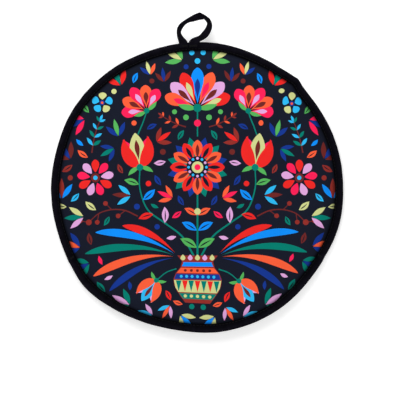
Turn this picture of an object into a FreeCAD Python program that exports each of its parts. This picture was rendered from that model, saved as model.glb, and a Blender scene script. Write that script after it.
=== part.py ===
"""Tortilla warmer: a round insulated cloth pouch that lies flat, +Z up, its mouth towards -Y.

Two padded panels, each a printed cover, a sheet of wadding and a lining, are held together round the
back and sides by one bound seam. In front of the fold line the panels part, each with its own bound
lip, and the upper one lifts to open the mouth. A loop of twisted tape is sewn to the rim at +Y.
The origin is the centre of the flat underside.
"""

import FreeCAD, Part
import math
import os

import Sketcher

# Driving dimensions, in millimetres, degrees or shares.
DRIVING = {
    "pouch_radius": 152.4,  # centre to the outside of the binding, a 12 inch pouch
    "mouth_depth": 76.2,  # front of the pouch back to the fold line
    "fold_gap": 0.3,  # between the fixed and the lifting half of the upper panel
    "rest_tilt": 6.0,  # how far the upper lip gapes by itself
    "sole_radius": 112.0,  # the flat underside
    "rim_lift": 0.6,  # table to the underside of the binding
    "cover_thickness": 0.5,
    "lining_thickness": 0.5,
    "wadding_thickness": 4.2,
    "flange_wadding": 1.2,  # the wadding where the seam squeezes it
    "layer_gap": 0.1,  # air between two layers of a panel
    "pocket_height": 12.0,  # floor to roof of the pocket, at the centre
    "shoulder_run": 14.0,  # width of the steeper band inside the binding
    "crown_share": 0.5,  # share of a face's rise that lies inside that band
    "floor_run": 20.0,  # the same band on the pocket's floor
    "tape_thickness": 0.8,
    "tape_clearance": 0.2,  # between the binding and the pads inside it
    "binding_width": 10.0,
    "fold_share": 0.4,  # fold radius of a binding, as a share of its height
    "lip_clearance": 0.3,  # between the stitches of the two lips when the mouth is shut
    "thread_width": 0.6,
    "thread_rise": 0.25,  # how far a row of stitches stands proud
    "stitch_inset": 1.5,  # inner edge of a binding to its stitches
    "tack_width": 2.2,
    "corner_tack_length": 4.0,  # at the mouth's corners, from the stitches out over the binding
    "corner_tack_inset": 4.0,  # fold line to those tacks
    "loop_tack_length": 8.0,
    "loop_tape_width": 9.0,
    "loop_tape_thickness": 1.2,
    "loop_height": 25.0,  # rim to the top of the loop's centre line
    "loop_span": 32.0,
    "loop_end_length": 7.0,  # tape sewn down on the binding
    "loop_clearance": 0.35,  # between the sewn ends and the free loop as it swings
}

# Places worked out from the driving dimensions, as expressions that the features are bound to.
FLANGE = (
    "(Sizes.cover_thickness + Sizes.flange_wadding + Sizes.lining_thickness"
    " + 2 * Sizes.layer_gap)"
)
PANEL = (
    "(Sizes.cover_thickness + Sizes.wadding_thickness + Sizes.lining_thickness"
    " + 2 * Sizes.layer_gap)"
)
LEG = "(Sizes.tape_thickness + Sizes.tape_clearance)"
SEAM_BOTTOM = "Sizes.rim_lift"
LOWER_FLANGE_BOTTOM = f"({SEAM_BOTTOM} + {LEG})"
LOWER_FLANGE_TOP = f"({LOWER_FLANGE_BOTTOM} + {FLANGE})"
LOWER_LIP_TOP = f"({LOWER_FLANGE_TOP} + {LEG})"
UPPER_LIP_BOTTOM = f"({LOWER_LIP_TOP} + 2 * Sizes.thread_rise + Sizes.lip_clearance)"
UPPER_FLANGE_BOTTOM = f"({UPPER_LIP_BOTTOM} + {LEG})"
UPPER_FLANGE_TOP = f"({UPPER_FLANGE_BOTTOM} + {FLANGE})"
SEAM_TOP = f"({UPPER_FLANGE_TOP} + {LEG})"
FLOOR = PANEL
ROOF = f"({FLOOR} + Sizes.pocket_height)"
CROWN = f"({ROOF} + {PANEL})"

RIM = "Sizes.pouch_radius"
BINDING_INSIDE = "(Sizes.pouch_radius - Sizes.binding_width)"
FLANGE_START = f"({BINDING_INSIDE} - Sizes.tape_clearance)"
PAD_EDGE = f"({RIM} - Sizes.fold_share * ({SEAM_TOP} - {SEAM_BOTTOM}))"
STITCH_RADIUS = f"({BINDING_INSIDE} + Sizes.stitch_inset)"
FOLD_Y = f"(Sizes.mouth_depth - {RIM})"
FLAP_Y = f"({FOLD_Y} - Sizes.fold_gap)"

# The upper panel's crown arc, whose height over the fold line sets the hinge.
CROWN_RUN = f"({FLANGE_START} - Sizes.shoulder_run)"
CROWN_RISE = f"(Sizes.crown_share * ({CROWN} - {UPPER_FLANGE_TOP}))"
CROWN_RADIUS = f"(({CROWN_RUN}^2 + {CROWN_RISE}^2) / (2 * {CROWN_RISE}))"
HINGE_Z = f"({CROWN} - {CROWN_RADIUS} + sqrt({CROWN_RADIUS}^2 - {FOLD_Y}^2))"

COVER_STEP = "(Sizes.cover_thickness + Sizes.layer_gap)"
LINING_STEP = "(Sizes.lining_thickness + Sizes.layer_gap)"

# Stations of the loop's centre line, from its left end round to its right end: shares of the loop's
# span across and of its height out from the rim, and the tape's roll in degrees, 0 lying flat.
LOOP_STATIONS = [
    (-0.45, 0.06, 0.0),
    (-0.52, 0.15, 40.0),
    (-0.59, 0.26, 70.0),
    (-0.61, 0.40, 77.0),
    (-0.53, 0.60, 74.0),
    (-0.37, 0.77, 74.0),
    (-0.17, 0.89, 60.0),
    (0.06, 0.99, 42.0),
    (0.25, 0.94, 62.0),
    (0.35, 0.81, 78.0),
    (0.39, 0.66, 76.0),
    (0.38, 0.50, 62.0),
    (0.31, 0.35, 54.0),
    (0.19, 0.23, 48.0),
    (0.07, 0.14, 36.0),
    (-0.02, 0.06, 0.0),
]
# Across the rim, the middles of the loop's two sewn ends, as shares of its span.
LOOP_ENDS = (LOOP_STATIONS[0][0], LOOP_STATIONS[-1][0])

doc = FreeCAD.newDocument("tortilla_warmer")
sheet = doc.addObject("Spreadsheet::Sheet", "Sizes")
for row, (alias, size) in enumerate(DRIVING.items(), start=1):
    sheet.set(f"A{row}", alias)
    sheet.set(f"B{row}", str(size))
    sheet.setAlias(f"B{row}", alias)
doc.recompute()

parts = []


def value(expression):
    """The number that an expression of the sheet gives now."""
    return float(sheet.evalExpression(expression))


def kept(obj, label):
    """Names an object as one sub-part of the pouch."""
    obj.Label = label
    parts.append(obj)
    return obj


def vector(x, y, z=0.0):
    return FreeCAD.Vector(x, y, z)


# Sketches ---------------------------------------------------------------------------------------

START, END, CENTRE = 1, 2, 3  # points of a sketch's line or arc
ORIGIN, V_AXIS = (-1, 1), -2


def new_sketch(body, plane, name):
    """An empty sketch on one of the body's own origin planes."""
    sketch = body.newObject("Sketcher::SketchObject", f"{body.Name}_{name}")
    support = [f for f in body.Origin.OriginFeatures if f.Role == plane][0]
    sketch.AttachmentSupport = [(support, "")]
    sketch.MapMode = "FlatFace"
    return sketch


def hold(sketch, kind, place, expression):
    """Binds a point's distance from the origin, along the sketch's X or Y, to an expression."""
    at = value(expression)
    number = sketch.addConstraint(
        Sketcher.Constraint(kind, *ORIGIN, place[0], place[1], at)
    )
    sketch.setExpression(f"Constraints[{number}]", expression)


def hold_point(sketch, place, x, z):
    hold(sketch, "DistanceX", place, x)
    hold(sketch, "DistanceY", place, z)


def meet(sketch, one, other):
    sketch.addConstraint(Sketcher.Constraint("Coincident", *one, *other))


def add_line(sketch, begin, end):
    """A line between two points given as numbers."""
    return sketch.addGeometry(Part.LineSegment(vector(*begin), vector(*end)), False)


def add_arc(sketch, centre, begin, end):
    """An arc, anticlockwise from one point to another about a centre."""
    radius = math.dist(centre, begin)
    angles = [math.atan2(p[1] - centre[1], p[0] - centre[0]) for p in (begin, end)]
    circle = Part.Circle(vector(*centre), vector(0, 0, 1), radius)
    return sketch.addGeometry(Part.ArcOfCircle(circle, *angles), False)


def add_flange(sketch, face, edge_height):
    """The flat band that the binding grips, from a face's outer end. Returns its own outer end."""
    start, end = value(FLANGE_START), value(PAD_EDGE)
    height = value(edge_height)
    band = add_line(sketch, (start, height), (end, height))
    meet(sketch, face, (band, START))
    sketch.addConstraint(Sketcher.Constraint("Horizontal", band))
    hold(sketch, "DistanceX", (band, END), PAD_EDGE)
    return (band, END)


def add_puffed_face(sketch, crown, edge, run):
    """A crowned face: a wide arc, a tighter one at the shoulder, then the flange.

    Returns its points on the axis and at the rim.
    """
    joint_x = f"({FLANGE_START} - {run})"
    joint_z = f"({edge} + (1 - Sizes.crown_share) * ({crown} - {edge}))"
    top, joint, foot = (
        (0.0, value(crown)),
        (value(joint_x), value(joint_z)),
        (value(FLANGE_START), value(edge)),
    )
    drop = top[1] - joint[1]
    wide = (joint[0] ** 2 + drop**2) / (2 * drop)
    centre = (0.0, top[1] - wide)
    crown_arc = add_arc(sketch, centre, joint, top)
    # The shoulder's centre lies on the wide arc's radius through the joint.
    along = ((centre[0] - joint[0]) / wide, (centre[1] - joint[1]) / wide)
    to_foot = (foot[0] - joint[0], foot[1] - joint[1])
    reach = (to_foot[0] ** 2 + to_foot[1] ** 2) / (
        2 * (to_foot[0] * along[0] + to_foot[1] * along[1])
    )
    inner = (joint[0] + reach * along[0], joint[1] + reach * along[1])
    shoulder = add_arc(sketch, inner, foot, joint)
    sketch.addConstraint(
        Sketcher.Constraint("PointOnObject", crown_arc, CENTRE, V_AXIS)
    )
    sketch.addConstraint(Sketcher.Constraint("PointOnObject", crown_arc, END, V_AXIS))
    hold(sketch, "DistanceY", (crown_arc, END), crown)
    hold_point(sketch, (crown_arc, START), joint_x, joint_z)
    sketch.addConstraint(
        Sketcher.Constraint("Tangent", crown_arc, START, shoulder, END)
    )
    hold_point(sketch, (shoulder, START), FLANGE_START, edge)
    return (crown_arc, END), add_flange(sketch, (shoulder, START), edge)


def add_flat_face(sketch, height, edge):
    """The underside's shape: flat, then an arc up to the flange. Returns its axis and rim points."""
    flat = value("Sizes.sole_radius")
    low, high = value(height), value(edge)
    foot = (value(FLANGE_START), high)
    radius = ((foot[0] - flat) ** 2 + (high - low) ** 2) / (2 * (high - low))
    sole = add_line(sketch, (0, low), (flat, low))
    sweep = add_arc(sketch, (flat, low + radius), (flat, low), foot)
    sketch.addConstraint(Sketcher.Constraint("PointOnObject", sole, START, V_AXIS))
    sketch.addConstraint(Sketcher.Constraint("Horizontal", sole))
    hold_point(sketch, (sole, END), "Sizes.sole_radius", height)
    sketch.addConstraint(Sketcher.Constraint("Tangent", sole, END, sweep, START))
    hold_point(sketch, (sweep, END), FLANGE_START, edge)
    return (sole, START), add_flange(sketch, (sweep, END), edge)


def close_profile(sketch, lower, upper):
    """Joins a lower and an upper face along the axis and at the rim."""
    for one, other in zip(lower, upper):
        begin, end = sketch.getPoint(*one), sketch.getPoint(*other)
        side = add_line(sketch, (begin.x, begin.y), (end.x, end.y))
        meet(sketch, one, (side, START))
        meet(sketch, other, (side, END))


def add_box_profile(sketch, left, right, low, high):
    """A rectangle whose four sides are bound to expressions."""
    x0, x1, z0, z1 = value(left), value(right), value(low), value(high)
    corners = [(x0, z0), (x1, z0), (x1, z1), (x0, z1)]
    sides = [add_line(sketch, corners[i], corners[(i + 1) % 4]) for i in range(4)]
    for i in range(4):
        meet(sketch, (sides[i], END), (sides[(i + 1) % 4], START))
        direction = "Horizontal" if i % 2 == 0 else "Vertical"
        sketch.addConstraint(Sketcher.Constraint(direction, sides[i]))
    hold_point(sketch, (sides[0], START), left, low)
    hold_point(sketch, (sides[1], END), right, high)


def add_channel_profile(sketch, low, high):
    """A folded tape in section: two legs and a round back, open towards the pouch's centre."""
    fold = f"(Sizes.fold_share * ({high} - {low}))"
    r, t = value(fold), value("Sizes.tape_thickness")
    inside, rim = value(BINDING_INSIDE), value(RIM)
    z0, z1 = value(low), value(high)
    turn = rim - r
    under, over = (turn, z0 + r), (turn, z1 - r)
    outline = [
        add_line(sketch, (inside, z0), (turn, z0)),
        add_arc(sketch, under, (turn, z0), (rim, z0 + r)),
        add_line(sketch, (rim, z0 + r), (rim, z1 - r)),
        add_arc(sketch, over, (rim, z1 - r), (turn, z1)),
        add_line(sketch, (turn, z1), (inside, z1)),
        add_line(sketch, (inside, z1), (inside, z1 - t)),
        add_line(sketch, (inside, z1 - t), (turn, z1 - t)),
        add_arc(sketch, over, (rim - t, z1 - r), (turn, z1 - t)),
        add_line(sketch, (rim - t, z1 - r), (rim - t, z0 + r)),
        add_arc(sketch, under, (turn, z0 + t), (rim - t, z0 + r)),
        add_line(sketch, (turn, z0 + t), (inside, z0 + t)),
        add_line(sketch, (inside, z0 + t), (inside, z0)),
    ]
    base, bend_low, back, bend_high, lid, lip_high = outline[:6]
    lid_in, bend_high_in, back_in, bend_low_in, base_in, lip_low = outline[6:]
    smooth = [
        (base, END, bend_low, START),
        (bend_low, END, back, START),
        (back, END, bend_high, START),
        (bend_high, END, lid, START),
        (lid_in, END, bend_high_in, END),
        (bend_high_in, START, back_in, START),
        (back_in, END, bend_low_in, END),
        (bend_low_in, START, base_in, START),
    ]
    for pair in smooth:
        sketch.addConstraint(Sketcher.Constraint("Tangent", *pair))
    meet(sketch, (lid, END), (lip_high, START))
    meet(sketch, (lip_high, END), (lid_in, START))
    meet(sketch, (base_in, END), (lip_low, START))
    meet(sketch, (lip_low, END), (base, START))
    meet(sketch, (bend_high, CENTRE), (bend_high_in, CENTRE))
    meet(sketch, (bend_low, CENTRE), (bend_low_in, CENTRE))
    for level in (base, lid, lid_in, base_in):
        sketch.addConstraint(Sketcher.Constraint("Horizontal", level))
    for upright in (lip_high, lip_low):
        sketch.addConstraint(Sketcher.Constraint("Vertical", upright))
    hold_point(sketch, (base, START), BINDING_INSIDE, low)
    hold_point(sketch, (lid, END), BINDING_INSIDE, high)
    hold(sketch, "DistanceY", (base_in, END), f"({low} + Sizes.tape_thickness)")
    hold_point(sketch, (bend_low, CENTRE), f"({RIM} - {fold})", f"({low} + {fold})")
    hold(sketch, "DistanceY", (bend_high, CENTRE), f"({high} - {fold})")


# Solids -----------------------------------------------------------------------------------------


def turned(body, sketch):
    """Revolves a section through a full turn about Z."""
    turn = body.newObject("PartDesign::Revolution", f"{body.Name}_turn")
    turn.Profile = sketch
    turn.ReferenceAxis = (sketch, ["V_Axis"])
    turn.Angle = 360
    sketch.Visibility = False
    doc.recompute()
    return turn


def cut_at_fold(body, front):
    """Takes away what lies in front of the fold line, or behind it if front is the half to keep."""
    beyond = f"({RIM} + Sizes.binding_width)"
    plan = new_sketch(body, "XY_Plane", "fold_cut")
    if front:
        add_box_profile(plan, f"(-{beyond})", beyond, FLAP_Y, beyond)
    else:
        add_box_profile(plan, f"(-{beyond})", beyond, f"(-{beyond})", FOLD_Y)
    cut = body.newObject("PartDesign::Pocket", f"{body.Name}_fold")
    cut.Profile = plan
    cut.Type = "ThroughAll"
    cut.Midplane = True
    plan.Visibility = False
    doc.recompute()


def gape(obj):
    """Tilts a piece of the flap about the hinge by the angle at which the lip rests."""
    cosine, sine = "cos(Sizes.rest_tilt)", "sin(Sizes.rest_tilt)"
    obj.Placement.Rotation = FreeCAD.Rotation(vector(-1, 0, 0), value("Sizes.rest_tilt"))
    obj.setExpression("Placement.Rotation.Angle", "Sizes.rest_tilt")
    obj.setExpression(
        "Placement.Base.y", f"{FOLD_Y} - {FOLD_Y} * {cosine} - {HINGE_Z} * {sine}"
    )
    obj.setExpression(
        "Placement.Base.z", f"{HINGE_Z} + {FOLD_Y} * {sine} - {HINGE_Z} * {cosine}"
    )


def turned_piece(label, draw, half=None):
    """A revolved sub-part. half is None for a whole ring, or the half kept: back, front or flap."""
    body = doc.addObject("PartDesign::Body", label)
    body.AllowCompound = True
    sketch = new_sketch(body, "XZ_Plane", "section")
    draw(sketch)
    turned(body, sketch)
    if half:
        cut_at_fold(body, half != "back")
    if half == "flap":
        gape(body)
    return kept(body, label)


def layer(lower, upper):
    """A function that draws a layer between two faces, each given as (adder, its expressions)."""

    def draw(sketch):
        faces = [add(sketch, *places) for add, *places in (lower, upper)]
        close_profile(sketch, *faces)

    return draw


def binding(low, high):
    return lambda sketch: add_channel_profile(sketch, low, high)


def stitch_rows(low, high):
    """Needle thread on top of a binding and bobbin thread below it."""
    half = "Sizes.thread_width / 2"
    left, right = f"({STITCH_RADIUS} - {half})", f"({STITCH_RADIUS} + {half})"

    def draw(sketch):
        add_box_profile(sketch, left, right, high, f"({high} + Sizes.thread_rise)")
        add_box_profile(sketch, left, right, f"({low} - Sizes.thread_rise)", low)

    return draw


def outer_face(step):
    """The upper panel's outside, lowered by a step."""
    run = "Sizes.shoulder_run"
    return add_puffed_face, f"({CROWN} - {step})", f"({UPPER_FLANGE_TOP} - {step})", run


def roof_face(step):
    """The pocket's roof, raised by a step."""
    run = "Sizes.shoulder_run"
    return add_puffed_face, f"({ROOF} + {step})", f"({UPPER_FLANGE_BOTTOM} + {step})", run


def floor_face(step):
    """The pocket's floor, lowered by a step."""
    run = "Sizes.floor_run"
    return add_puffed_face, f"({FLOOR} - {step})", f"({LOWER_FLANGE_TOP} - {step})", run


def sole_face(step):
    """The underside, raised by a step."""
    return add_flat_face, step, f"({LOWER_FLANGE_BOTTOM} + {step})"


def build_panels():
    """Cover, wadding and lining of the lower panel and of both halves of the upper one."""
    cover, lining = "Sizes.cover_thickness", "Sizes.lining_thickness"
    turned_piece("lower_cover", layer(sole_face("0"), sole_face(cover)))
    turned_piece(
        "lower_wadding", layer(sole_face(COVER_STEP), floor_face(LINING_STEP))
    )
    turned_piece("lower_lining", layer(floor_face(lining), floor_face("0")))
    for name, half in (("upper", "back"), ("flap", "flap")):
        turned_piece(f"{name}_lining", layer(roof_face("0"), roof_face(lining)), half)
        turned_piece(
            f"{name}_wadding",
            layer(roof_face(LINING_STEP), outer_face(COVER_STEP)),
            half,
        )
        turned_piece(f"{name}_cover", layer(outer_face(cover), outer_face("0")), half)


def build_bindings():
    """The bound seam, the two bound lips and the rows of stitches that hold them."""
    seam = (SEAM_BOTTOM, SEAM_TOP)
    lower_lip = (SEAM_BOTTOM, LOWER_LIP_TOP)
    upper_lip = (UPPER_LIP_BOTTOM, SEAM_TOP)
    turned_piece("seam_binding", binding(*seam), "back")
    turned_piece("lower_lip_binding", binding(*lower_lip), "front")
    turned_piece("upper_lip_binding", binding(*upper_lip), "flap")
    turned_piece("seam_stitching", stitch_rows(*seam), "back")
    turned_piece("lower_lip_stitching", stitch_rows(*lower_lip), "front")
    turned_piece("upper_lip_stitching", stitch_rows(*upper_lip), "flap")


def thread_block(name, length, width, place, angle):
    """A low block of thread, centred on a place (x, y, underside) and turned about Z."""
    block = doc.addObject("Part::Box", name)
    block.setExpression("Length", length)
    block.setExpression("Width", width)
    block.setExpression("Height", "Sizes.thread_rise")
    block.Placement.Rotation = FreeCAD.Rotation(vector(0, 0, 1), value(angle))
    block.setExpression("Placement.Rotation.Angle", angle)
    x, y, z = place
    cosine, sine = f"cos({angle})", f"sin({angle})"
    block.setExpression(
        "Placement.Base.x", f"{x} - {length} / 2 * {cosine} + {width} / 2 * {sine}"
    )
    block.setExpression(
        "Placement.Base.y", f"{y} - {length} / 2 * {sine} - {width} / 2 * {cosine}"
    )
    block.setExpression("Placement.Base.z", z)
    return block


def grouped(label, pieces):
    """Several separate solids as one sub-part."""
    group = doc.addObject("Part::Compound", label)
    group.Links = pieces
    return kept(group, label)


def build_mouth_tacks():
    """Bar tacks across the seam binding at both corners of the mouth, above and below."""
    length = "Sizes.corner_tack_length"
    middle = f"({STITCH_RADIUS} + Sizes.thread_width + {length} / 2)"
    across = f"({FOLD_Y} + Sizes.corner_tack_inset)"
    out = f"sqrt({middle}^2 - {across}^2)"
    turn = f"asin({across} / {middle})"
    blocks = []
    for side, sign in (("right", "1"), ("left", "-1")):
        for level, z in (
            ("top", SEAM_TOP),
            ("under", f"({SEAM_BOTTOM} - Sizes.thread_rise)"),
        ):
            place = (f"({sign} * {out})", across, z)
            name = f"tack_{side}_{level}"
            size = (length, "Sizes.tack_width")
            blocks.append(thread_block(name, *size, place, f"({sign} * {turn})"))
    grouped("mouth_bar_tacks", blocks)


# The loop ---------------------------------------------------------------------------------------

LOOP_BOTTOM = SEAM_TOP
LOOP_TOP = f"({LOOP_BOTTOM} + Sizes.loop_tape_thickness)"
LOOP_HINGE_Y = f"({RIM} + Sizes.loop_tape_thickness / 2 + Sizes.loop_clearance)"
LOOP_HINGE_Z = f"({LOOP_BOTTOM} + Sizes.loop_tape_thickness / 2)"


def build_loop_ends():
    """The loop's two sewn ends, flat on the binding, and the bar tack across each."""
    ends, tacks = [], []
    width, length = "Sizes.loop_tape_width", "Sizes.loop_end_length"
    for name, share in zip(("left", "right"), LOOP_ENDS):
        middle = f"({share} * Sizes.loop_span)"
        end = doc.addObject("Part::Box", f"loop_end_{name}")
        end.setExpression("Length", width)
        end.setExpression("Width", length)
        end.setExpression("Height", "Sizes.loop_tape_thickness")
        end.setExpression("Placement.Base.x", f"{middle} - {width} / 2")
        end.setExpression("Placement.Base.y", f"{RIM} - {length}")
        end.setExpression("Placement.Base.z", LOOP_BOTTOM)
        ends.append(end)
        place = (middle, f"({RIM} - {length} / 2)", LOOP_TOP)
        size = ("Sizes.loop_tack_length", "Sizes.tack_width")
        tacks.append(thread_block(f"loop_tack_{name}", *size, place, "0"))
    grouped("loop_ends", ends)
    grouped("loop_bar_tacks", tacks)


def tape_section(middle, along, roll):
    """The tape's rectangular section at a point of its centre line, rolled about that line."""
    up = vector(0, 0, 1)
    flat = up.cross(along).normalize()
    across = flat * math.cos(roll) + up * math.sin(roll)
    through = along.cross(across).normalize()
    half_width = across * (value("Sizes.loop_tape_width") / 2)
    half_depth = through * (value("Sizes.loop_tape_thickness") / 2)
    corners = [
        middle + half_width + half_depth,
        middle - half_width + half_depth,
        middle - half_width - half_depth,
        middle + half_width - half_depth,
    ]
    return Part.makePolygon(corners + corners[:1])


def build_hanging_loop():
    """The free part of the loop: a tape that leaves the rim, twists on edge and comes back."""
    span, height = value("Sizes.loop_span"), value("Sizes.loop_height")
    start, level = value(LOOP_HINGE_Y), value(LOOP_HINGE_Z)
    route = [(share, 0.0, 0.0) for share in LOOP_ENDS]
    route[1:1] = LOOP_STATIONS
    points = [vector(x * span, start + y * height, level) for x, y, _ in route]
    outward = vector(0, 1, 0)
    sections = []
    for i, (_, _, roll) in enumerate(route):
        if i < 2:
            along = outward
        elif i > len(route) - 3:
            along = outward * -1
        else:
            along = (points[i + 1] - points[i - 1]).normalize()
        sections.append(tape_section(points[i], along, math.radians(roll)))
    loop = doc.addObject("Part::Feature", "hanging_loop")
    loop.Shape = Part.makeLoft(sections, True, True)
    return kept(loop, "hanging_loop")


def write_parts():
    """Checks every object of the document, then writes each sub-part's STEP file."""
    doc.recompute()
    for obj in doc.Objects:
        if "Invalid" in obj.State or "Error" in obj.State:
            raise RuntimeError(f"{obj.Name} failed: {obj.State}")
    for piece in parts:
        if piece.Shape.isNull() or not piece.Shape.isValid():
            raise RuntimeError(f"{piece.Label} has no valid shape")
    os.makedirs("parts", exist_ok=True)
    for piece in parts:
        piece.Shape.exportStep(f"parts/{piece.Label}.step")


build_panels()
build_bindings()
build_mouth_tacks()
build_loop_ends()
build_hanging_loop()
write_parts()
for name, y, z in (("flap", FOLD_Y, HINGE_Z), ("loop", LOOP_HINGE_Y, LOOP_HINGE_Z)):
    print(f"{name} hinge at y {value(y):.4f} z {value(z):.4f}")
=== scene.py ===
"""A tortilla warmer: two padded cloth panels with a folk print, bound round the rim with black tape,
open along the front between two lips, and with a tape loop at the back.

Every cloth piece is worked out flat and shut, in millimetres, and then settled: the rim gets its
uneven outline and the upper panel its gaping mouth.
"""

import math

import bpy
import numpy as np
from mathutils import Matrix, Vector, noise
from mathutils.geometry import delaunay_2d_cdt


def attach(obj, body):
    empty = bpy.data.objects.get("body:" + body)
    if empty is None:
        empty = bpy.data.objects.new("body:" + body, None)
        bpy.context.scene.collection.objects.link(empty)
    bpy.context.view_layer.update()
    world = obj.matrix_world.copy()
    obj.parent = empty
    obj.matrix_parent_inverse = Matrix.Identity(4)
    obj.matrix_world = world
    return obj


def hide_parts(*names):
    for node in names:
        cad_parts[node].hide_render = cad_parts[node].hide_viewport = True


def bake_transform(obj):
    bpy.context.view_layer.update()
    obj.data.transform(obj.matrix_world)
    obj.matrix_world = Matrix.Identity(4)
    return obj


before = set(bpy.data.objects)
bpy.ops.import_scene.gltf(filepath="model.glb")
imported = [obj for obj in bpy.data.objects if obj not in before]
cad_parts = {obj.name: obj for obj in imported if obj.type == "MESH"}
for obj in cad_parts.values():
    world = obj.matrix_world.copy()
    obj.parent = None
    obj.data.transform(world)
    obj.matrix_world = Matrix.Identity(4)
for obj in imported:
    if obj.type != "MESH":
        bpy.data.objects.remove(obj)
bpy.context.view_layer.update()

MM = 0.001

# ---------------------------------------------------------------- measures of the sewn pouch, in mm
POUCH_RADIUS = 152.4
TAPE_INSIDE = 143.6
FLANGE_START = 142.2
PAD_EDGE = 148.56
TAPE_THICKNESS = 0.8
STITCH_RADIUS = 145.0
MOUTH_Y = -76.2
MOUTH_CORNER = 30.0
# the seam's tape laps over the ends of the lips' tapes, which run on inside it, in degrees
SEAM_LAP = 0.8
LIP_TUCK = 3.5
# how much further out and further apart a tape's faces stand near its ends, and over what length:
# the seam's ends stand clear of the lips' ends, which lie drawn in; both ease off over the ramp
LAPPING = (0.2, 0.4, 2.5)
TUCKED = (-1.8, -0.9, 7.6)
END_RAMP = 3.0
# how uneven sewn tape is, and how long and wide its lumps and its slow drift are
SEAM_ROUGH, LIP_ROUGH = 0.25, 0.15
LUMP_LENGTH, LUMP_WIDTH, DRIFT_LENGTH = 9, 6, 34
TAPE_STEP = 1.5
HINGE_Z = 20.402
REST_GAPE = 6.0
BEND_START_Y = -60.0
BEND_END_Y = -104.0

# a cloth's thickness, and how far under a cloth's outer face its pad lies
CLOTH = 0.5
STEP = 0.6
# how much deeper the upper pad lies near the fold, how far ahead that sets in, and where it fades out
FOLD_ROOM = 0.4
FOLD_ROOM_AHEAD = (40, 60)
FOLD_ROOM_FADE = (120, 140)
PANEL_SPOKES = 180
SHOULDER_RUN = 14.0
FLOOR_RUN = 20.0
CROWN_SHARE = 0.5
SOLE_RADIUS = 112.0
RIM_LIFT = 1.6
# the padded faces, the top and the pocket's roof and floor, by crown, rim and width of shoulder
UPPER_CROWN = 22.8
UPPER_FACE = (UPPER_CROWN, 9.2, SHOULDER_RUN)
ROOF_FACE = (17.4, 6.8, SHOULDER_RUN)
FLOOR_FACE = (5.4, 4.0, FLOOR_RUN)

SEAM_SPAN = (0.6, 10.2)
LOWER_LIP_SPAN = (0.6, 5.0)
UPPER_LIP_SPAN = (5.8, 10.2)

LOOP_Z = 10.8
LOOP_WIDTH = 9.0
LOOP_TAPE = 1.2

# how high the puckers may stand, where they set in, and how long their simulation runs
PUCKER_CAP = 0.9
PUCKER_START = (20, 60)
PUCKER_FRAMES = 20
# how far the linings' slack rises and falls, its lumps' length both ways, and where it fades out
SLACK = 0.5
SLACK_LUMPS = (32, 22)
SLACK_FADE = (110, 140)
# the seam that draws each lining down on its wadding, 6 mm inside the tape; its groove also gets painted
# shade over the same half width
QUILT_RADIUS, QUILT_DEPTH, QUILT_HALF = 137.4, 0.6, 1.1
ZIGZAG_PITCH = 6.0
ZIGZAG_ON_TAPE, ZIGZAG_ON_CLOTH = 0.4, 2.8
ZIGZAG_LIFT = 0.18
STITCH_PITCH, STITCH_LENGTH = 3.4, 2.7
# how thick the thread lies in the rows round the binding, in the zigzags and in the bar tacks
ROW_THREAD, ZIGZAG_THREAD, TACK_THREAD = 0.6, 0.55, 0.5
# how far short of the mouth's corners the lips' rows stop, in degrees
ROW_STOP = 1.5
# bar tacks: space between stitches, then length and width, and where the ones at the corners lie
TACK_PITCH = 0.55
CORNER_TACK = (4.0, 2.2)
CORNER_TACK_REACH, CORNER_TACK_TURN = 147.0, 0.4
CORNER_TACK_ABOVE, CORNER_TACK_BELOW = 0.4, 0.3
# bar tacks across the loop's two feet: length and width, height over the tape, x, y and heading
FOOT_TACK = (8.0, 2.2)
FOOT_TACK_LIFT = 0.1
FOOT_TACKS = ((-14.5, 148.2, 0), (-4.6, 148.0, 6))

# where painted shade darkens the print into the crease at the binding, and over what width of tape the
# tape's painted shade fades
PAINTED_CREASE_SHADE = (139.8, 144.6)
PAINTED_TAPE_SHADE = 7.0

# how far the sewn rim stands out from the true circle, from +X round towards +Y: degrees and mm
RIM_OFFSETS = (
    (0, 0.2), (18, -0.3), (30, -1.0), (38, -1.2), (43, -0.5), (46.8, 1.8), (49.5, 0.8), (56, -0.9),
    (67, -1.4), (82, -0.9), (108, -1.6), (126, -0.1), (150, 1.0), (164, 0.2), (182, 1.1), (199, 1.8),
    (211, 3.9), (221, 6.2), (231, 4.5), (244, 0.2), (257, -1.7), (267, -1.3), (279, 0.3), (297, 0.8),
    (310, 0.3), (321, -0.7), (332, 0.1), (345, 1.3), (360, 0.2),
)
# where the lower lip peeps out from under the upper one: degrees, mm and width in degrees
PEEP = (226.0, 2.2, 9.0)
# between which distances from the middle the cloth takes up the rim's uneven outline
SWELL_RUN = (60, 142)

# ---------------------------------------------------------------- dyes of the print
GROUND = "#161A28"
RED = "#EF2926"
CORAL = "#FD603B"
AZURE = "#0E8FFB"
SKY = "#2FBAF4"
TEAL = "#037F70"
GREEN = "#56B35B"
LILAC = "#E3A8DF"
PINK = "#FF2259"
CREAM = "#D2D790"
ROYAL = "#163791"
MAROON = "#702826"
BRICK = "#94302A"


# ---------------------------------------------------------------- materials
def linear(hex_colour):
    """An sRGB hex colour as linear red, green, blue and a full alpha."""
    shares = [int(hex_colour[place : place + 2], 16) / 255 for place in (1, 3, 5)]
    return [s / 12.92 if s <= 0.04045 else ((s + 0.055) / 1.055) ** 2.4 for s in shares] + [1.0]


def add_node(tree, kind, inputs=None, **settings):
    """Adds a node; inputs gives a value, or another node's output, for each named socket."""
    node = tree.nodes.new("ShaderNode" + kind)
    for name, value in settings.items():
        setattr(node, name, value)
    for name, value in (inputs or {}).items():
        if isinstance(value, bpy.types.NodeSocket):
            tree.links.new(value, node.inputs[name])
        else:
            node.inputs[name].default_value = value
    return node


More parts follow.
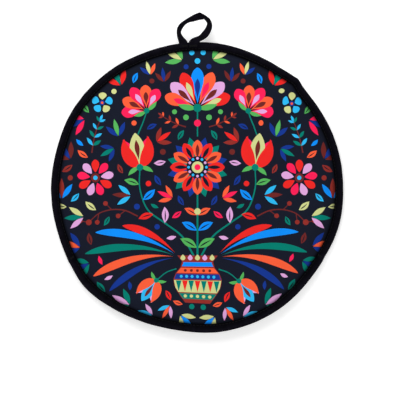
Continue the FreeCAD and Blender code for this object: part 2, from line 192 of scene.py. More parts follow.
def start_material(name, roughness, gloss, sheen=0.0, sheen_roughness=0.5):
    """A material with one cloth-like shader, and the tree that its patterns go in.

    Cloth shines less than its fibres do, because its threads shade each other, so gloss is low.
    """
    material = bpy.data.materials.new(name)
    material.use_nodes = True
    tree = material.node_tree
    tree.nodes.clear()
    plain = {"Roughness": roughness, "Specular IOR Level": gloss}
    plain.update({"Sheen Weight": sheen, "Sheen Roughness": sheen_roughness})
    shader = add_node(tree, "BsdfPrincipled", plain)
    add_node(tree, "OutputMaterial", {"Surface": shader.outputs["BSDF"]})
    return material, tree, shader


def finish_material(tree, shader, colour, height, strength, depth):
    """Gives the shader its colour, and a tooth from heights of this depth in millimetres."""
    relief = {"Height": height, "Strength": strength, "Distance": depth * MM}
    tooth = add_node(tree, "Bump", relief)
    tree.links.new(colour, shader.inputs["Base Color"])
    tree.links.new(tooth.outputs[0], shader.inputs["Normal"])


def flat_place(tree):
    """Where a point of cloth lies on the cut, flat panel, so that threads bend with the cloth."""
    return add_node(tree, "Attribute", attribute_name="cloth_place").outputs["Vector"]


def weave_height(tree, place, thread_mm, ratio=1.0):
    """Heights of a plain weave: warp and weft threads that pass over each other in turn."""
    scale = 1000.0 / thread_mm
    spaced = add_node(tree, "Mapping", {"Vector": place, "Scale": (scale, scale * ratio, scale)})
    checks = add_node(tree, "TexChecker", {"Vector": spaced.outputs[0], "Scale": 1.0})
    parts = add_node(tree, "SeparateXYZ", {"Vector": spaced.outputs[0]})
    ridges = []
    for axis in (0, 1):
        turn = add_node(tree, "Math", {0: parts.outputs[axis], 1: math.pi}, operation="MULTIPLY")
        wave = add_node(tree, "Math", {0: turn.outputs[0]}, operation="SINE")
        ridges.append(add_node(tree, "Math", {0: wave.outputs[0]}, operation="ABSOLUTE"))
    picked = {0: checks.outputs["Fac"], 2: ridges[0].outputs[0], 3: ridges[1].outputs[0]}
    return add_node(tree, "Mix", picked).outputs[0]


def printed_polyester():
    """Heat-printed woven polyester: matt, smooth and taut, with inks that sink into dark ground cloth.

    The colours come from the print's own attribute, with painted shade that darkens the cloth in the
    crease at the binding. Its thread shows only as a fine tooth under raking light.
    """
    material, tree, shader = start_material("printed_woven_polyester", 0.8, 0.05)
    place = flat_place(tree)
    inks = add_node(tree, "Attribute", attribute_name="print_ink")
    # painted shade: the print's colour is darkened towards the rim, into the crease at the binding
    reach = add_node(tree, "VectorMath", {0: place}, operation="LENGTH")
    crease_shade_range = {"Value": reach.outputs["Value"], "To Min": 1.0, "To Max": 0.1}
    crease_shade_range.update({"From Min": PAINTED_CREASE_SHADE[0] * MM, "From Max": PAINTED_CREASE_SHADE[1] * MM})
    painted_crease_shade = add_node(tree, "MapRange", crease_shade_range, interpolation_type="SMOOTHSTEP")
    # blotches some 20 mm wide, as dye takes a little unevenly
    uptake = add_node(tree, "TexNoise", {"Vector": place, "Scale": 50.0, "Detail": 3.0})
    uneven = add_node(tree, "MapRange", {"Value": uptake.outputs[0], "To Min": 0.9, "To Max": 1.06})
    # threads are 0.35 mm apart and are drawn at 0.9 mm, so that they show
    weave = weave_height(tree, place, 0.9)
    thread = add_node(tree, "MapRange", {"Value": weave, "To Min": 0.93, "To Max": 1.03})
    dim = add_node(tree, "Math", {0: painted_crease_shade.outputs[0], 1: uneven.outputs[0]}, operation="MULTIPLY")
    dim = add_node(tree, "Math", {0: dim.outputs[0], 1: thread.outputs[0]}, operation="MULTIPLY")
    dyed = add_node(
        tree, "VectorMath", {0: inks.outputs["Color"], "Scale": dim.outputs[0]}, operation="SCALE"
    )
    finish_material(tree, shader, dyed.outputs[0], weave, 0.25, 0.12)
    return material


def natural_cotton():
    """Unbleached plain-woven cotton: cream, with thicker slubs both ways and more along the weft, and
    painted shade along its seam's groove.
    """
    material, tree, shader = start_material("unbleached_slub_cotton", 0.9, 0.2, 0.1, 0.6)
    place = flat_place(tree)
    # slubs are 1 mm thick and some 20 mm long
    slubs = []
    for stretch in ((50.0, 900.0, 50.0), (900.0, 50.0, 50.0)):
        drawn = add_node(tree, "Mapping", {"Vector": place, "Scale": stretch})
        slubs.append(add_node(tree, "TexNoise", {"Vector": drawn.outputs[0], "Detail": 4.0, "Scale": 1.0}))
    slub = add_node(tree, "Mix", {0: 0.4, 2: slubs[0].outputs[0], 3: slubs[1].outputs[0]})
    streak = add_node(tree, "ValToRGB", {"Fac": slub.outputs[0]})
    streak.color_ramp.elements[0].position = 0.36
    streak.color_ramp.elements[0].color = linear("#CFC0B0")
    streak.color_ramp.elements[1].position = 0.62
    streak.color_ramp.elements[1].color = linear("#F4E8DB")
    # painted shade: the colour is darkened along the bottom of the seam's groove, where little light reaches
    reach = add_node(tree, "VectorMath", {0: place}, operation="LENGTH").outputs["Value"]
    off = add_node(tree, "Math", {0: reach, 1: QUILT_RADIUS * MM}, operation="SUBTRACT").outputs[0]
    off = add_node(tree, "Math", {0: off}, operation="ABSOLUTE").outputs[0]
    deep = {"Value": off, "From Max": QUILT_HALF * MM, "To Min": 0.45, "To Max": 1.0}
    deep = add_node(tree, "MapRange", deep).outputs[0]
    shaded = add_node(tree, "VectorMath", {0: streak.outputs[0], "Scale": deep}, operation="SCALE")
    # threads are 0.5 mm apart and are drawn at 1 mm
    weave = weave_height(tree, place, 1.0)
    relief = add_node(tree, "Math", {0: weave, 1: slub.outputs[0]}, operation="ADD")
    finish_material(tree, shader, shaded.outputs[0], relief.outputs[0], 0.5, 0.3)
    return material


def fibre_wadding():
    """Bonded polyester wadding: white, dull and fluffy, with hair-fine fibres lying every way."""
    material, tree, shader = start_material("bonded_fibre_wadding", 0.95, 0.2, 0.3, 0.8)
    place = flat_place(tree)
    # fibres are 0.03 mm thick and are drawn as strands 1.4 mm wide
    fibres = add_node(
        tree, "TexNoise", {"Vector": place, "Scale": 700.0, "Detail": 6.0, "Distortion": 2.5}
    )
    tint = add_node(tree, "ValToRGB", {"Fac": fibres.outputs[0]})
    tint.color_ramp.elements[0].color = linear("#D9D7D0")
    tint.color_ramp.elements[1].color = linear("#F6F5F0")
    finish_material(tree, shader, tint.outputs[0], fibres.outputs[0], 0.7, 0.6)
    return material


def black_tape():
    """Woven polyester binding tape: dull black and ribbed across, darkened by painted shade towards its
    inner edge.

    The ribs follow the tape, from its own attribute of the way along and across it.
    """
    material, tree, shader = start_material("black_woven_binding_tape", 0.88, 0.02)
    course = add_node(tree, "Attribute", attribute_name="tape_course")
    # ribs are 0.4 mm apart and are drawn at 0.8 mm
    weave = weave_height(tree, course.outputs["Vector"], 0.8)
    # lint lies in patches some 6 mm wide
    lint = add_node(tree, "TexNoise", {"Vector": course.outputs["Vector"], "Scale": 160.0})
    wear = add_node(tree, "ValToRGB", {"Fac": lint.outputs[0]})
    wear.color_ramp.elements[0].position = 0.3
    wear.color_ramp.elements[0].color = linear("#0A090F")
    wear.color_ramp.elements[1].position = 0.75
    wear.color_ramp.elements[1].color = linear("#13111A")
    # painted shade: the tape's inner edge lies in the crease of the swelling cloth, so its colour is
    # darkened there
    across = add_node(tree, "SeparateXYZ", {"Vector": course.outputs["Vector"]})
    tape_shade_range = {"Value": across.outputs["Y"], "From Max": PAINTED_TAPE_SHADE * MM, "To Min": 0.15, "To Max": 1.0}
    painted_tape_shade = add_node(tree, "MapRange", tape_shade_range).outputs[0]
    shaded = add_node(tree, "VectorMath", {0: wear.outputs[0], "Scale": painted_tape_shade}, operation="SCALE")
    finish_material(tree, shader, shaded.outputs[0], weave, 0.6, 0.2)
    return material


def black_thread():
    """Twisted polyester sewing thread: black with a faint gloss, and a ply that winds round it."""
    material, tree, shader = start_material("black_polyester_thread", 0.6, 0.08)
    place = add_node(tree, "TexCoord").outputs["Object"]
    # a turn of the ply is some 1 mm long, and its bands are drawn 3 mm apart
    ply = add_node(tree, "TexWave", {"Vector": place, "Scale": 200.0, "Distortion": 1.0})
    ply.bands_direction = "DIAGONAL"
    tint = add_node(tree, "ValToRGB", {"Fac": ply.outputs["Fac"]})
    tint.color_ramp.elements[0].color = linear("#040405")
    tint.color_ramp.elements[1].color = linear("#0B0B0E")
    finish_material(tree, shader, tint.outputs[0], ply.outputs["Fac"], 0.5, 0.1)
    return material


def pale_table():
    """A plain matt white table, which stays white to the camera and keeps the pouch's shadow."""
    material, tree, shader = start_material("matt_white_laminate", 0.9, 0.0)
    shader.inputs["Base Color"].default_value = linear("#F4F4F4")
    shader.inputs["Emission Color"].default_value = (1.0, 1.0, 1.0, 1.0)
    rays = add_node(tree, "LightPath")
    lift = {"Value": rays.outputs["Is Camera Ray"], "To Max": 0.4}
    glow = add_node(tree, "MapRange", lift)
    tree.links.new(glow.outputs[0], shader.inputs["Emission Strength"])
    return material


# ---------------------------------------------------------------- the shape of the pouch
def puffed_face(radius, face, lift=0.0):
    """Heights of a padded panel's face: a wide arc, a tighter shoulder over its last run, a flat rim."""
    crown, edge, run = face[0] + lift, face[1] + lift, face[2]
    joint_r = FLANGE_START - run
    joint_z = edge + (1 - CROWN_SHARE) * (crown - edge)
    drop = crown - joint_z
    wide = (joint_r**2 + drop**2) / (2 * drop)
    along = np.array([-joint_r, crown - wide - joint_z]) / wide
    to_foot = np.array([run, edge - joint_z])
    reach = to_foot @ to_foot / (2 * to_foot @ along)
    centre = np.array([joint_r, joint_z]) + along * reach
    arc = crown - wide + np.sqrt(wide**2 - np.minimum(radius, joint_r) ** 2)
    near = np.clip(radius, joint_r, FLANGE_START) - centre[0]
    shoulder = centre[1] + np.sqrt(reach**2 - near**2)
    return np.where(radius < joint_r, arc, np.where(radius < FLANGE_START, shoulder, edge))


def sole_face(radius):
    """Heights of the underside: flat where it lies on the table, then curving up to the rim."""
    run = FLANGE_START - SOLE_RADIUS
    bow = (run**2 + RIM_LIFT**2) / (2 * RIM_LIFT)
    near = np.clip(radius - SOLE_RADIUS, 0, run)
    return bow - np.sqrt(bow**2 - near**2)


def smooth_step(value, low, high):
    """0 below low, 1 above high and smooth between."""
    share = np.clip((value - low) / (high - low), 0, 1)
    return share * share * (3 - 2 * share)


def through(stations, steps):
    """A smooth line through stations, which are numbers, complex numbers or rows of them."""
    first, last = 2 * stations[0] - stations[1], 2 * stations[-1] - stations[-2]
    held = np.concatenate([[first], stations, [last]])
    line = []
    for a, b, c, d in zip(held, held[1:], held[2:], held[3:]):
        for t in np.arange(steps) / steps:
            curve = (c - a) * t + (2 * a - 5 * b + 4 * c - d) * t**2 + (3 * b - a - 3 * c + d) * t**3
            line.append(b + curve / 2)
    return np.array(line + [stations[-1]])


RIM_LINE = through(np.array(RIM_OFFSETS), 6)


def rim_swell(degrees, upper):
    """How far the sewn rim stands out from a true circle at each angle."""
    angles, offsets = RIM_LINE.T
    total = np.interp(degrees, angles, offsets, period=360)
    if upper:
        away = (degrees - PEEP[0] + 180) % 360 - 180
        total = total - PEEP[1] * np.exp(-0.5 * (away / PEEP[2]) ** 2)
    return total


def settle(points, upper=False):
    """Moves points of the true, shut pouch to where the real cloth lies."""
    points = np.array(points, float)
    radius = np.hypot(points[:, 0], points[:, 1])
    degrees = np.degrees(np.arctan2(points[:, 1], points[:, 0]))
    swell = rim_swell(degrees, upper) * smooth_step(radius, *SWELL_RUN)
    points[:, :2] *= ((radius + swell) / np.maximum(radius, 1e-6))[:, None]
    if upper:
        share = smooth_step(-points[:, 1], -BEND_START_Y, -BEND_END_Y)
        turn = np.radians(REST_GAPE) * share
        ahead, above = points[:, 1] - MOUTH_Y, points[:, 2] - HINGE_Z
        points[:, 1] = MOUTH_Y + ahead * np.cos(turn) + above * np.sin(turn)
        points[:, 2] = HINGE_Z - ahead * np.sin(turn) + above * np.cos(turn)
    return points


# ---------------------------------------------------------------- puckers of the taut cover
PUCKER_RINGS = np.concatenate([np.linspace(12, 84, 7), np.linspace(94, FLANGE_START, 19)])
PUCKER_SPOKES = 240


def simulate_puckers():
    """Blows the upper panel up as cloth, a little larger than its bound rim, and keeps how its face
    rises and falls round each ring.
    """
    angles = np.arange(PUCKER_SPOKES) * 2 * math.pi / PUCKER_SPOKES
    radius = np.repeat(PUCKER_RINGS, PUCKER_SPOKES)
    turns = np.tile(angles, len(PUCKER_RINGS))
    height = puffed_face(radius, UPPER_FACE)
    start = np.column_stack([radius * np.cos(turns), radius * np.sin(turns), height])
    start = np.vstack([start, [0, 0, UPPER_CROWN]]) * MM
    faces = ring_faces(len(PUCKER_RINGS), PUCKER_SPOKES)
    mesh = bpy.data.meshes.new("pucker_trial")
    mesh.from_pydata(start.tolist(), [], faces)
    trial = bpy.data.objects.new("pucker_trial", mesh)
    bpy.context.scene.collection.objects.link(trial)
    rim = trial.vertex_groups.new(name="rim")
    rim.add(list(range(len(start) - 1 - PUCKER_SPOKES, len(start) - 1)), 1.0, "REPLACE")
    cloth = trial.modifiers.new("blown", "CLOTH").settings
    cloth.vertex_group_mass = "rim"
    cloth.quality = 6
    cloth.mass = 0.15
    cloth.tension_stiffness = 25
    cloth.compression_stiffness = 25
    cloth.shear_stiffness = 8
    cloth.bending_stiffness = 0.35
    cloth.shrink_min = -0.018
    cloth.use_pressure = True
    cloth.uniform_pressure_force = 3.0
    cloth.effector_weights.gravity = 0
    for moment in range(1, PUCKER_FRAMES + 1):
        bpy.context.scene.frame_set(moment)
    graph = bpy.context.evaluated_depsgraph_get()
    blown = np.empty(len(start) * 3)
    trial.evaluated_get(graph).data.vertices.foreach_get("co", blown)
    rise = (blown.reshape(-1, 3)[:-1, 2] - start[:-1, 2]) / MM
    bpy.data.objects.remove(trial)
    bpy.context.scene.frame_set(1)
    rise = rise.reshape(len(PUCKER_RINGS), PUCKER_SPOKES)
    rise = rise - rise.mean(axis=1, keepdims=True)
    return np.clip(rise, -PUCKER_CAP, PUCKER_CAP)


def pucker(field, xy):
    """The simulated rise at each point, read between the rings and spokes."""
    radius = np.hypot(xy[:, 0], xy[:, 1])
    turns = np.arctan2(xy[:, 1], xy[:, 0]) / (2 * math.pi) * PUCKER_SPOKES % PUCKER_SPOKES
    row = np.interp(radius, PUCKER_RINGS, np.arange(len(PUCKER_RINGS)))
    low = np.minimum(row.astype(int), len(PUCKER_RINGS) - 2)
    left = turns.astype(int) % PUCKER_SPOKES
    right = (left + 1) % PUCKER_SPOKES
    up, over = row - low, turns - turns.astype(int)
    inner = field[low, left] * (1 - over) + field[low, right] * over
    outer = field[low + 1, left] * (1 - over) + field[low + 1, right] * over
    calm = 1 - smooth_step(radius, FLANGE_START - 1, FLANGE_START)
    return (inner * (1 - up) + outer * up) * calm * smooth_step(radius, *PUCKER_START)


def ring_faces(rings, spokes):
    """Faces, seen from above, of rings of points that are followed by one centre point."""
    faces = []
    centre = rings * spokes
    for spoke in range(spokes):
        after = (spoke + 1) % spokes
        faces.append((centre, spoke, after))
        for ring in range(rings - 1):
            inner, outer = ring * spokes, (ring + 1) * spokes
            faces.append((inner + spoke, outer + spoke, outer + after, inner + after))
    return faces


def tube_faces(steps, ring):
    """Faces between the rings of points along a tape, open at both ends."""
    faces = []
    for step in range(steps):
        for place in range(ring):
            a, b = step * ring + place, step * ring + (place + 1) % ring
            faces.append((a, b, b + ring, a + ring))
    return faces


# ---------------------------------------------------------------- making pieces
def make_piece(name, points, faces, material, corner_inks=None):
    """A smooth-shaded mesh object from points in millimetres."""
    mesh = bpy.data.meshes.new(name)
    mesh.from_pydata((np.asarray(points) * MM).tolist(), [], faces)
    mesh.shade_smooth()
    if corner_inks is not None:
        layer = mesh.color_attributes.new("print_ink", "FLOAT_COLOR", "CORNER")
        layer.data.foreach_set("color", np.asarray(corner_inks, np.float32).ravel())
    mesh.materials.append(material)
    mesh.update()
    piece = bpy.data.objects.new(name, mesh)
    bpy.context.scene.collection.objects.link(piece)
    return piece


def mark_points(piece, name, places):
    """Stores a place for each point in metres: on the flat cloth, or along and across a tape."""
    layer = piece.data.attributes.new(name, "FLOAT_VECTOR", "POINT")
    layer.data.foreach_set("vector", (np.array(places, np.float32) * MM).ravel())


def disc_plan(spokes):
    """Rings of points over a round panel, closer together at its shoulder, and its faces and edge."""
    groove = QUILT_RADIUS + np.array([-1.6, -0.8, 0, 0.8, 1.6])
    rim = [140.6, FLANGE_START, 145.4, PAD_EDGE]
    radii = np.concatenate([np.linspace(4, 108, 27), np.linspace(111, 134.4, 10), groove, rim])
    turns = np.tile(np.arange(spokes) * 2 * math.pi / spokes, len(radii))
    radius = np.repeat(radii, spokes)
    xy = np.column_stack([radius * np.cos(turns), radius * np.sin(turns)])
    edge = list(range((len(radii) - 1) * spokes, len(radii) * spokes))
    return np.vstack([xy, [0, 0]]), ring_faces(len(radii), spokes), edge


def lay_cloth(name, plan, top, bottom, material, upper=False, inks=None):
    """A closed layer between two heights over a flat plan, walled in round its edge."""
    xy, faces, edge = plan
    count = len(xy)
    points = np.vstack(
        [
            settle(np.column_stack([xy, top]), upper),
            settle(np.column_stack([xy, bottom]), upper),
        ]
    )
    under = [tuple(v + count for v in reversed(face)) for face in faces]
    walls = [(a, a + count, b + count, b) for a, b in zip(edge, edge[1:] + edge[:1])]
    corner_inks = None
    if inks is not None:
        face_inks = list(inks) + list(inks) + [linear(GROUND)] * len(walls)
        all_faces = faces + under + walls
        corner_inks = [ink for face, ink in zip(all_faces, face_inks) for _ in face]
    piece = make_piece(name, points, faces + under + walls, material, corner_inks)
    mark_points(piece, "cloth_place", np.column_stack([np.tile(xy, (2, 1)), np.zeros(2 * count)]))
    return piece


def slack(xy):
    """Shallow hollows and swells of cloth that isn't taut, fading out towards the rim."""
    calm = 1 - smooth_step(np.hypot(xy[:, 0], xy[:, 1]), *SLACK_FADE)
    lumps = [noise.noise(Vector((x / SLACK_LUMPS[0], y / SLACK_LUMPS[1], 3.7))) for x, y in xy]
    return SLACK * np.array(lumps) * calm


def quilting(radius):
    """How far the linings' seam draws them towards their wadding."""
    return QUILT_DEPTH * np.exp(-(((radius - QUILT_RADIUS) / QUILT_HALF) ** 2))


# ---------------------------------------------------------------- the print: outlines as complex numbers
def bent_line(root, heading, length, bend, steps):
    """A line that turns evenly by bend degrees: the share of the way at each point, and the points."""
    shares = np.linspace(0, 1, steps + 1)
    way = np.exp(1j * np.radians(heading + bend * (shares[1:] + shares[:-1]) / 2))
    return shares, root + np.concatenate([[0], np.cumsum(way)]) * length / steps


def leaf(root, heading, length, width, bend=0.0, belly=0.5, blunt=1.0, span=(0.0, 1.0)):
    """A leaf or petal. Its middle line turns by bend degrees on its way, and span keeps a part of it."""
    fine, line = bent_line(root, heading, length, bend, 60)
    steps = 14 + int(length / 6)
    share = (1 - np.cos(np.pi * np.arange(steps + 1) / steps)) / 2
    place = span[0] + (span[1] - span[0]) * share
    middle = np.interp(place, fine, line.real) + 1j * np.interp(place, fine, line.imag)
    side = 1j * np.exp(1j * np.radians(heading + bend * place))
    swell = np.sin(np.pi * share ** (math.log(0.5) / math.log(belly)))
    half = width / 2 * np.clip(swell, 0, 1) ** blunt
    return np.concatenate([middle - side * half, (middle + side * half)[-2:0:-1]])


def dot(centre, radius):
    """A round dot."""
    count = max(16, int(radius * 6))
    return centre + radius * np.exp(2j * np.pi * np.arange(count) / count)


def stroke(points, start_width, end_width, ink, steps=5):
    """A tapering line through points, as a row of small patches."""
    line = through(np.array(points, complex), steps)
    ahead = np.gradient(line)
    side = 1j * ahead / np.abs(ahead)
    half = np.linspace(start_width, end_width, len(line)) / 2
    left, right = line + side * half, line - side * half
    patches = zip(right, right[1:], left[1:], left)
    return [(np.array(patch), ink) for patch in patches]


def at(centre, heading, distance):
    """The point that lies this far from centre along a heading in degrees."""
    return centre + distance * np.exp(1j * np.radians(heading))


def veined_leaf(root, heading, length, width, ink, bend=0.0):
    """A leaf with a slit down its middle."""
    slit = leaf(root, heading, length, width * 0.13 + 0.35, bend, 0.4, span=(0.12, 0.82))
    return [(leaf(root, heading, length, width, bend), ink), (slit, GROUND)]


def sprig(root, heading, size, inks, spread=36, width=0.27):
    """Blades that fan out of one point, the middle one longest."""
    motifs = []
    middle = (len(inks) - 1) / 2
    for place, ink in enumerate(inks):
        off = place - middle
        length = size * (1 - 0.13 * abs(off))
        start = at(root, heading - off * spread, size * 0.07)
        motifs.append((leaf(start, heading - off * spread, length, size * width), ink))
    return motifs


def daisy(centre, radius, petals, inks, eye, turn=0.0):
    """A round flower of even petals about a spotted eye."""
    motifs = []
    reach = 2 * math.pi * radius / petals * 0.6
    for place in range(petals):
        heading = turn + place * 360 / petals
        start = at(centre, heading, radius * 0.3)
        outline = leaf(start, heading, radius * 0.7, reach, belly=0.62, blunt=0.55)
        motifs.append((outline, inks[place % len(inks)]))
    motifs.append((dot(centre, radius * 0.25), eye[0]))
    motifs.append((dot(centre, radius * 0.12), eye[1]))
    return motifs


def rosette(centre, radius):
    """The large layered flower: pointed outer petals, split inner ones and a beaded eye."""
    motifs = []
    for place in range(12):
        heading = 15 + place * 30
        outline = leaf(at(centre, heading, radius * 0.3), heading, radius * 0.7, radius * 0.3)
        motifs.append((outline, (ROYAL, TEAL)[place % 2]))
    for place in range(12):
        heading = place * 30
        root = at(centre, heading, radius * 0.25)
        petal = leaf(root, heading, radius * 0.64, radius * 0.33, belly=0.6, blunt=0.7)
        heart = leaf(root, heading, radius * 0.5, radius * 0.12, belly=0.6)
        motifs += [(petal, (RED, CORAL)[place % 2]), (heart, (GROUND, MAROON)[place % 2])]
    motifs.append((dot(centre, radius * 0.36), GROUND))
    for place in range(12):
        motifs.append((dot(at(centre, place * 30, radius * 0.29), radius * 0.045), (SKY, LILAC)[place % 2]))
    motifs.append((dot(centre, radius * 0.19), CREAM))
    motifs.append((dot(centre, radius * 0.1), PINK))
    return motifs


def fan_flower(root, heading, radius, petals, inks, hearts, spread=150.0):
    """A flower seen from the side: a fan of round-ended petals with a second, slimmer fan on it."""
    motifs = []
    gap = spread / (petals - 1)
    for place in range(petals):
        off = place - (petals - 1) / 2
        way = heading + off * gap
        start = at(root, way, radius * 0.1)
        length = radius * (0.9 - 0.05 * abs(off))
        wide = 2 * radius * math.sin(math.radians(gap / 2)) * 0.78
        motifs.append((leaf(start, way, length, wide, belly=0.7, blunt=0.62), inks[place % len(inks)]))
        heart = leaf(start, way, length * 0.7, wide * 0.42, belly=0.68, span=(0.1, 1.0))
        motifs.append((heart, hearts[place % len(hearts)]))
    for side in (-1, 1):
        way = heading + side * (spread / 2 + gap * 1.1)
        motifs.append((leaf(root, way, radius * 0.5, radius * 0.15, bend=side * -30), GREEN))
    motifs.append((dot(root, radius * 0.1), TEAL))
    return motifs


def tulip(root, heading, size, outer, inner, heart):
    """A closed flower: two curling outer petals over three inner ones."""
    motifs = []
    for off in (-24, 24):
        motifs.append((leaf(root, heading + off, size * 0.92, size * 0.3, belly=0.6), inner))
    motifs.append((leaf(root, heading, size, size * 0.42, belly=0.55, blunt=0.8), heart))
    motifs.append((leaf(root, heading, size * 0.8, size * 0.14, belly=0.6, span=(0.25, 1)), MAROON))
    for side in (-1, 1):
        petal = leaf(root, heading + side * 52, size * 0.98, size * 0.36, -side * 62, 0.42)
        sepal = leaf(root, heading + side * 98, size * 0.42, size * 0.13, side * 40)
        motifs += [(petal, outer), (sepal, GREEN)]
    motifs.append((dot(root, size * 0.1), TEAL))
    return motifs


def berries(way, ink, berry, reach=9.0):
    """A thin tendril with a berry on a stalk at each point of its way, to one side and the other."""
    way = np.array(way, complex)
    facing = np.degrees(np.angle(np.gradient(way)))
    motifs = stroke(way, 1.5, 1.0, ink)
    for place in range(1, len(way)):
        tip = at(way[place], facing[place] + 52 * (-1) ** place, reach)
        motifs += stroke([way[place], tip], 1.0, 0.8, ink, 2)
        motifs.append((dot(tip, 2.4), berry))
    motifs.append((dot(way[-1], 3.0), berry))
    return motifs


def frond(root, heading, length, bend, ink, leaves, pairs=5):
    """A curved stem with pairs of small leaves that shorten towards its tip."""
    steps, line = bent_line(root, heading, length, bend, 8)
    motifs = stroke(line, 1.4, 0.8, ink, 2)
    for place in range(pairs):
        share = (place + 0.9) / pairs
        spot = np.interp(share, steps, line.real) + 1j * np.interp(share, steps, line.imag)
        facing = heading + bend * share
        size = length * 0.3 * (1.1 - 0.45 * share)
        for side in (-1, 1):
            tint = leaves[(place + (side > 0)) % len(leaves)]
            motifs.append((leaf(spot, facing + side * 48, size, size * 0.36), tint))
    motifs.append((leaf(line[-1], heading + bend, length * 0.22, length * 0.08), leaves[0]))
    return motifs


POT_HEIGHTS = (-122, -119, -114, -106, -98, -91, -85, -80, -76, -72)
POT_HALVES = (13, 15, 19, 24, 25.5, 23, 18, 15.5, 17, 21)
POT_BANDS = (
    (-118, -112, TEAL),
    (-111, -98, CREAM),
    (-97, -91.5, ROYAL),
    (-90.5, -85, CORAL),
    (-83.5, -79, AZURE),
)


def pot_band(low, high, ink, inset=0.0):
    """A band right across the pot, between two heights."""
    levels = np.linspace(low, high, 9)
    halves = np.interp(levels, POT_HEIGHTS, POT_HALVES) - inset
    right = halves + 1j * levels
    return (np.concatenate([right, -np.conj(right[::-1])]), ink)


def flower_pot():
    """A banded pot with rows of dots, teeth and leaves."""
    motifs = [pot_band(-122, -72, BRICK)]
    motifs += [pot_band(low, high, ink, 0.8) for low, high, ink in POT_BANDS]
    for place in range(-3, 4):
        x = place * 6.6
        motifs.append((np.array([x - 3 - 98.6j, x - 110.4j, x + 3 - 98.6j]), (RED, TEAL)[place % 2]))
        motifs.append((dot(x * 0.86 - 94.2j, 1.6), SKY))
    for place in range(-2, 3):
        motifs.append((dot(place * 6.4 - 115j, 1.7), CREAM))
        motifs.append((dot(place * 6.4 - 87.8j, 1.5), MAROON))
        motifs.append((leaf(place * 7.6 - 77.2j, 90, 6.4, 5.2, belly=0.4), (CREAM, LILAC)[place % 2]))
    return motifs


def middle_motifs():
    """What stands on the line of symmetry, from the pot up to the crown flower."""
    motifs = stroke([-72j, -50j, -20j, 0j], 2.2, 1.6, TEAL)
    motifs += flower_pot()
    motifs += rosette(20j, 32)
    motifs += stroke([52j, 66j, 80j], 1.4, 1.4, TEAL)
    motifs += fan_flower(82j, 90, 43, 7, (RED, LILAC, CORAL, AZURE), (CREAM, MAROON, PINK, ROYAL), 138)
    motifs += [(dot(66j, 3.6), PINK), (dot(-26j, 3.4), CREAM), (dot(132j, 3.0), SKY)]
    return motifs


# the long strokes that spring from the pot: heading, length, width, ink
PLUMES = ((48, 63, 7.5, RED), (36, 86, 8, AZURE), (22, 92, 7.5, TEAL), (8, 84, 8, CORAL), (-6, 74, 7, ROYAL))
# leaves on the stems: root, heading, length, ink
STEM_LEAVES = (
    (0.6 - 64j, 38, 20, GREEN),
    (0.6 - 46j, 38, 18, AZURE),
    (0.6 - 30j, 38, 15, CORAL),
    (34 - 38j, 98, 17, LILAC),
    (46 - 29j, -8, 16, RED),
    (57 - 14j, 148, 17, AZURE),
    (61 + 2j, 26, 16, GREEN),
)
# sprigs near the rim: angle, distance from the centre, heading, size, inks
RIM_SPRIGS = (
    (67, 127, 74, 15, (CORAL, CREAM, ROYAL)),
    (-15, 121, -4, 20, (CREAM, TEAL, LILAC)),
    (-77, 128, -58, 15, (SKY, CORAL, LILAC)),
)


def right_motifs():
    """The right half of the print; the left half mirrors it."""
    motifs = []
    for heading, length, width, ink in PLUMES:
        root = at(19 - 74j, heading, 6)
        motifs.append((leaf(root, heading, length, width, -40, 0.7, 0.7), ink))
    motifs += stroke([4 - 72j, 16 - 52j, 34 - 38j, 52 - 24j, 60 - 2j, 60 + 18j], 2.0, 1.3, TEAL)
    for root, heading, length, ink in STEM_LEAVES:
        motifs += veined_leaf(root, heading, length, length * 0.42, ink, -18)
    motifs += tulip(60 + 20j, 82, 36, RED, PINK, CREAM)
    motifs += daisy(106 + 9j, 19, 9, (PINK, LILAC, RED), (MAROON, SKY), 9)
    motifs += berries([62 - 31j, 75 - 25j, 89 - 24j, 102 - 28j, 112 - 37j], MAROON, BRICK)
    motifs += frond(110 + 35j, 98, 34, 14, MAROON, (SKY, TEAL), 4)
    motifs += daisy(99 + 87j, 11, 5, (SKY, CREAM), (ROYAL, CORAL), 20)
    motifs += stroke([62 + 54j, 57 + 66j, 53 + 78j], 1.4, 1.2, TEAL)
    motifs += fan_flower(53 + 79j, 56, 29, 5, (PINK, CORAL), (LILAC, MAROON), 122)
    motifs += frond(12 + 62j, 14, 27, 22, MAROON, (BRICK, CORAL), 3)
    motifs += stroke([22 - 86j, 33 - 90j, 44 - 99j], 1.3, 1.1, TEAL)
    motifs += tulip(43 - 98j, -54, 26, CORAL, LILAC, SKY)
    for around, reach, heading, size, inks in RIM_SPRIGS:
        motifs += sprig(at(0, around, reach), heading, size, inks)
    return motifs


def narrow(room, spots, motifs):
    """How far each spot is from the nearest outline, and 0 inside one."""
    for outline, _ in motifs:
        room = np.minimum(room, np.abs(spots[:, None] - outline).min(axis=1))
        after = np.roll(outline, -1)
        level = spots.imag[:, None]
        rising = (outline.imag > level) != (after.imag > level)
        rise = np.where(after.imag == outline.imag, 1e-9, after.imag - outline.imag)
        cross = outline.real + (level - outline.imag) / rise * (after - outline).real
        inside = np.sum(rising & (spots.real[:, None] < cross), axis=1) % 2 == 1
        room = np.where(inside, 0, room)
    return room


FILLERS = (ROYAL, CREAM, BRICK, TEAL, CORAL, ROYAL, LILAC, MAROON, GREEN, AZURE, RED, ROYAL, PINK, TEAL, SKY)
FILLER_TURNS = (40, -50, 90, 10)
MOST_ROOM, SPRIG_ROOM, LEAF_ROOM, LEAST_ROOM = 15.0, 10.5, 7.8, 6.3


